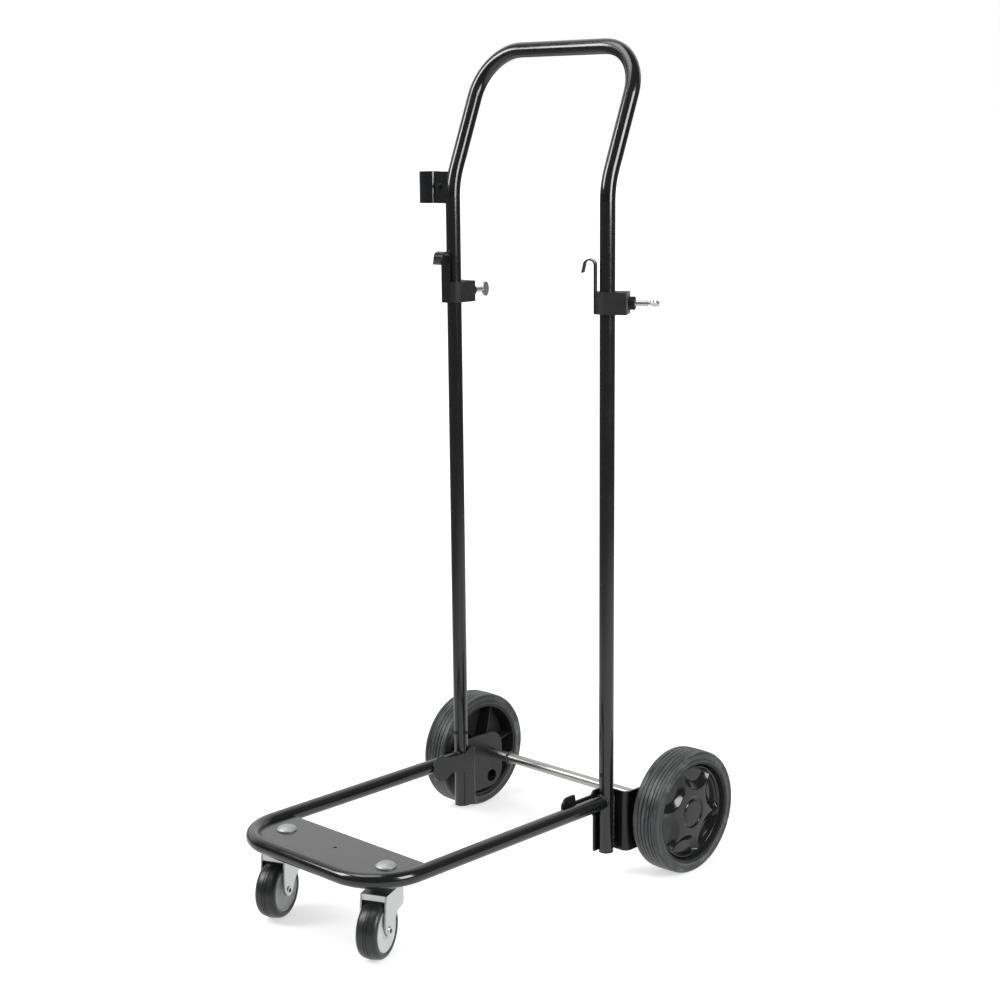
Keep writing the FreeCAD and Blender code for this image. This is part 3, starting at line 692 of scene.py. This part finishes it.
def bead_ring(name, middle, ring, bead, bend=0.0, quarter_turn=0.0):
    # A bead of radius bead round an axle along Y, all in millimetres.
    work = bmesh.new()
    circle = bmesh.ops.create_circle(work, segments=10, radius=bead * MM)["verts"]
    bmesh.ops.translate(work, vec=(ring * MM, 0, 0), verts=circle)
    bmesh.ops.spin(work, geom=circle + work.edges[:], cent=(0, 0, 0),
                   axis=(0, 1, 0), angle=math.tau, steps=96, use_merge=True)
    for point in work.verts:
        turn = math.atan2(point.co.z, point.co.x)
        ripple = 1 + ripple_height * math.cos(ripples * turn)
        radius = math.hypot(point.co.x, point.co.z)
        grow = (ring * MM + (radius - ring * MM) * ripple) / radius
        back = bend * (1 - abs(math.sin(turn)))
        point.co = (point.co.x * grow, point.co.y * ripple + back * MM,
                    point.co.z * grow)
    place = Matrix.Translation(middle) @ Matrix.Rotation(quarter_turn, 4, "Z")
    bmesh.ops.transform(work, matrix=place, verts=work.verts)
    keep_piece(name, work, gloss_black, "frame")


def bead_line(name, start, end, bead):
    # A bead of radius bead in millimetres between two points in metres.
    way = Vector(end) - Vector(start)
    work = bmesh.new()
    bmesh.ops.create_cone(work, cap_ends=True, segments=10, radius1=bead * MM,
                          radius2=bead * MM, depth=way.length)
    long_edges = [edge for edge in work.edges
                  if edge.calc_length() > way.length * 0.9]
    bmesh.ops.subdivide_edges(work, edges=long_edges, use_grid_fill=True,
                              cuts=int(way.length / MM / 0.8))
    for point in work.verts:
        along = point.co.z / way.length
        size = 1 + ripple_height * math.cos(point.co.z / MM * ripple_turn)
        size *= max(1 - (2 * abs(along)) ** 12, 0.25)
        point.co.x *= size
        point.co.y *= size
    turn = way.to_track_quat("Z", "Y").to_matrix().to_4x4()
    middle = (Vector(start) + Vector(end)) / 2
    bmesh.ops.transform(work, matrix=Matrix.Translation(middle) @ turn,
                        verts=work.verts)
    keep_piece(name, work, gloss_black, "frame")


# %% [markdown]
# The beads are then laid where the parts of the frame meet: round the butt of
# each base tube end, round the axle at each bracket, in two seams between each
# bracket and its upright, and in three short lengths along the front plate.

# %% Beads on the frame
ring_bead = 1.7
seam_bead = 1.5
plate_bead = 1.4
plate_bead_length = 14 * MM
axle_middle, axle_size = middle_and_size("axle")
for side, sign in (("left", -1), ("right", 1)):
    x = sign * upright_x
    bead_ring("weld_base_" + side, (x, upright_y - tube, base_z),
              tube / MM - 0.4, ring_bead, bend=3.0)
    web_low, web_high = (Vector(corner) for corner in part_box("bracket_" + side))
    flange_x = web_high.x if side == "left" else web_low.x
    bead_ring("weld_axle_" + side, (flange_x, axle_middle.y, axle_middle.z),
              axle_size.z / 2 / MM + 0.8, ring_bead, quarter_turn=math.pi / 2)
    for name, offset in (("outer", 0.56), ("inner", -0.56)):
        seam = (x + sign * offset * tube, upright_y + 0.9 * tube)
        bead_line("weld_seam_" + name + "_" + side, (*seam, web_low.z + 4 * MM),
                  (*seam, web_low.z + 88 * MM), seam_bead)

plate_low, plate_high = (Vector(corner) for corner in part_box("front_plate"))
plate_edge = (plate_low.y + 0.6 * MM, plate_high.z + 0.2 * MM)
for count, x in enumerate((-82 * MM, -20 * MM, 45 * MM)):
    bead_line("weld_plate_" + str(count), (x, *plate_edge),
              (x + plate_bead_length, *plate_edge), plate_bead)

# %% [markdown]
# The studio is plain: a pale floor, white surroundings and three soft lamps.
# The floor keeps the cart's shadow, and a little light of its own, seen only by
# the camera and by mirror-like surfaces, lifts it to white paper for the camera.
# It is too weak to light the cart. In reflections the floor carries a painted
# reflection: its matt colour drops to dark grey and its glow fades from bright
# near the cart's back right to dim far away, which lays light and dark bands on
# the glossy paint.

# %% Floor
floor_mesh = bpy.data.meshes.new("studio_floor")
sheet = bmesh.new()
bmesh.ops.create_grid(sheet, x_segments=1, y_segments=1, size=40)
sheet.to_mesh(floor_mesh)
sheet.free()
floor = bpy.data.objects.new("studio_floor", floor_mesh)
floor.location.z = cad_box[0][2] - 0.0005
bpy.context.scene.collection.objects.link(floor)

paper = bpy.data.materials.new("white_paper")
paper.use_nodes = True
tree = paper.node_tree
tree.nodes.clear()
ray = add_node(tree, "ShaderNodeLightPath")
seen = add_node(tree, "ShaderNodeMath", {
    0: ray.outputs["Is Camera Ray"], 1: ray.outputs["Is Glossy Ray"]},
    operation="MAXIMUM")
seen = add_node(tree, "ShaderNodeMath", {
    0: seen.outputs[0], 1: ray.outputs["Is Transmission Ray"]},
    operation="MAXIMUM")
place = add_node(tree, "ShaderNodeTexCoord").outputs["Object"]
away = add_node(tree, "ShaderNodeVectorMath", {0: place}, operation="LENGTH")
aside = add_node(tree, "ShaderNodeVectorMath", {
    0: place, 1: (0.45, 0.42, 0.0)}, operation="DISTANCE")
far = add_node(tree, "ShaderNodeMapRange", {
    "Value": away.outputs["Value"], "From Min": 0.8, "From Max": 2.6,
    "To Min": 0.58, "To Max": 1.0}, interpolation_type="SMOOTHSTEP")
# Painted reflection: for glossy rays the floor glows strongly near a point behind and right of
# the cart and weakly far from it.
painted_reflection_glow = add_node(tree, "ShaderNodeMapRange", {
    "Value": aside.outputs["Value"], "From Min": 0.8, "From Max": 2.5,
    "To Min": 0.85, "To Max": 0.1}, interpolation_type="SMOOTHSTEP")
glow_strength = add_node(tree, "ShaderNodeMix", {
    0: ray.outputs["Is Camera Ray"], 2: painted_reflection_glow.outputs[0], 3: far.outputs[0]},
    data_type="FLOAT")
glow_level = add_node(tree, "ShaderNodeMath", {
    0: seen.outputs[0], 1: glow_strength.outputs[0]}, operation="MULTIPLY")
glow = add_node(tree, "ShaderNodeEmission", {"Strength": glow_level.outputs[0]})
# Painted reflection: seen in reflections the floor's matt colour drops from 0.6 to 0.1, so the
# floor looks darker there than it does to the camera.
matt_and_painted_reflection_colour = add_node(tree, "ShaderNodeMix", {
    0: ray.outputs["Is Glossy Ray"], 6: (0.6, 0.6, 0.6, 1), 7: (0.1, 0.1, 0.1, 1)},
    data_type="RGBA")
matt = add_node(tree, "ShaderNodeBsdfDiffuse", {"Color": matt_and_painted_reflection_colour.outputs[2]})
both = add_node(tree, "ShaderNodeAddShader", {0: glow.outputs[0], 1: matt.outputs[0]})
add_node(tree, "ShaderNodeOutputMaterial", {"Surface": both.outputs[0]})
floor_mesh.materials.append(paper)
print("floor at z =", round(floor.location.z, 4))

# %% [markdown]
# The world is white to the camera. Glossy paint sees a white wall behind the
# cart, which gives black tubes their pale edges, and a dark room on the side
# where the photographer would stand and low along the horizon, which puts dark
# bands beside the bright ones.

# %% World
world = bpy.data.worlds.new("studio")
world.use_nodes = True
bpy.context.scene.world = world
tree = world.node_tree
tree.nodes.clear()
ray = add_node(tree, "ShaderNodeLightPath")
direction = add_node(tree, "ShaderNodeTexCoord").outputs["Generated"]
toward_back = add_node(tree, "ShaderNodeVectorMath", {
    0: direction, 1: (-0.69, 0.72, 0.0)}, operation="DOT_PRODUCT")
behind = add_node(tree, "ShaderNodeMapRange", {
    "Value": toward_back.outputs["Value"], "From Min": 0.2, "From Max": 0.62,
    "To Min": 0.12, "To Max": 1.0}, interpolation_type="SMOOTHSTEP")
height = add_node(tree, "ShaderNodeSeparateXYZ", {0: direction})
above = add_node(tree, "ShaderNodeMapRange", {
    "Value": height.outputs["Z"], "From Min": 0.02, "From Max": 0.22,
    "To Min": 0.2, "To Max": 1.0}, interpolation_type="SMOOTHSTEP")
room = add_node(tree, "ShaderNodeMath", {
    0: behind.outputs[0], 1: above.outputs[0]}, operation="MULTIPLY")
mirror = add_node(tree, "ShaderNodeMath", {
    0: ray.outputs["Is Glossy Ray"], 1: ray.outputs["Is Transmission Ray"]},
    operation="MAXIMUM")
inside = add_node(tree, "ShaderNodeMix", {
    0: mirror.outputs[0], 2: 0.5, 3: room.outputs[0]}, data_type="FLOAT")
level = add_node(tree, "ShaderNodeMix", {
    0: ray.outputs["Is Camera Ray"], 2: inside.outputs[0], 3: 1.0},
    data_type="FLOAT")
back = add_node(tree, "ShaderNodeBackground", {
    "Color": (1, 1, 1, 1), "Strength": level.outputs[0]})
add_node(tree, "ShaderNodeOutputWorld", {"Surface": back.outputs[0]})
print("world ready")

# %% [markdown]
# Three soft boxes stand round the cart: one high on the left, one on the right
# at the height of the handle, which draws the long grey band down the uprights,
# and one overhead for the plate and the tops of the wheels.

# %% Lamps
def lamp(name, place, target, width, height, power):
    data = bpy.data.lights.new(name, "AREA")
    data.shape = "RECTANGLE"
    data.size = width
    data.size_y = height
    data.energy = power
    holder = bpy.data.objects.new(name, data)
    holder.location = place
    holder.rotation_euler = (Vector(target) - Vector(place)).to_track_quat(
        "-Z", "Y").to_euler()
    bpy.context.scene.collection.objects.link(holder)


lamp("softbox_left", (-1.39, -1.71, 2.0), (0, 0, 0.6), 0.9, 1.2, 44)
lamp("softbox_right", (2.2, 0.04, 1.4), (0, 0, 0.6), 1.0, 1.2, 44)
lamp("top_soft", (-0.5, -0.6, 2.8), (0, 0, 0.3), 1.4, 1.4, 26)

# %% [markdown]
# The camera looks from the front right, a little above the middle of the cart,
# through a short telephoto lens. A small upward shift keeps the tall uprights
# nearly parallel, as a photographer's shift lens does.

# %% Camera
camera_place = (1.8513, -1.8468, 1.0610)
turn, tilt, roll = (math.radians(a) for a in (43.934, 12.810, -0.582))
back = Vector((math.sin(turn) * math.cos(tilt), -math.cos(turn) * math.cos(tilt),
               math.sin(tilt)))
right = Vector((math.cos(turn), math.sin(turn), 0))
up = back.cross(right)
camera_data = bpy.data.cameras.new("camera")
camera = bpy.data.objects.new("camera", camera_data)
axes = Matrix((math.cos(roll) * right + math.sin(roll) * up,
               math.cos(roll) * up - math.sin(roll) * right, back)).transposed()
camera.matrix_world = Matrix.Translation(camera_place) @ axes.to_4x4()
camera_data.lens = 69.267
camera_data.sensor_width = 36
camera_data.shift_y = 0.06
bpy.context.scene.collection.objects.link(camera)
bpy.context.scene.camera = camera
bpy.context.scene.view_settings.view_transform = "Standard"
print("camera lens:", camera_data.lens, "mm")
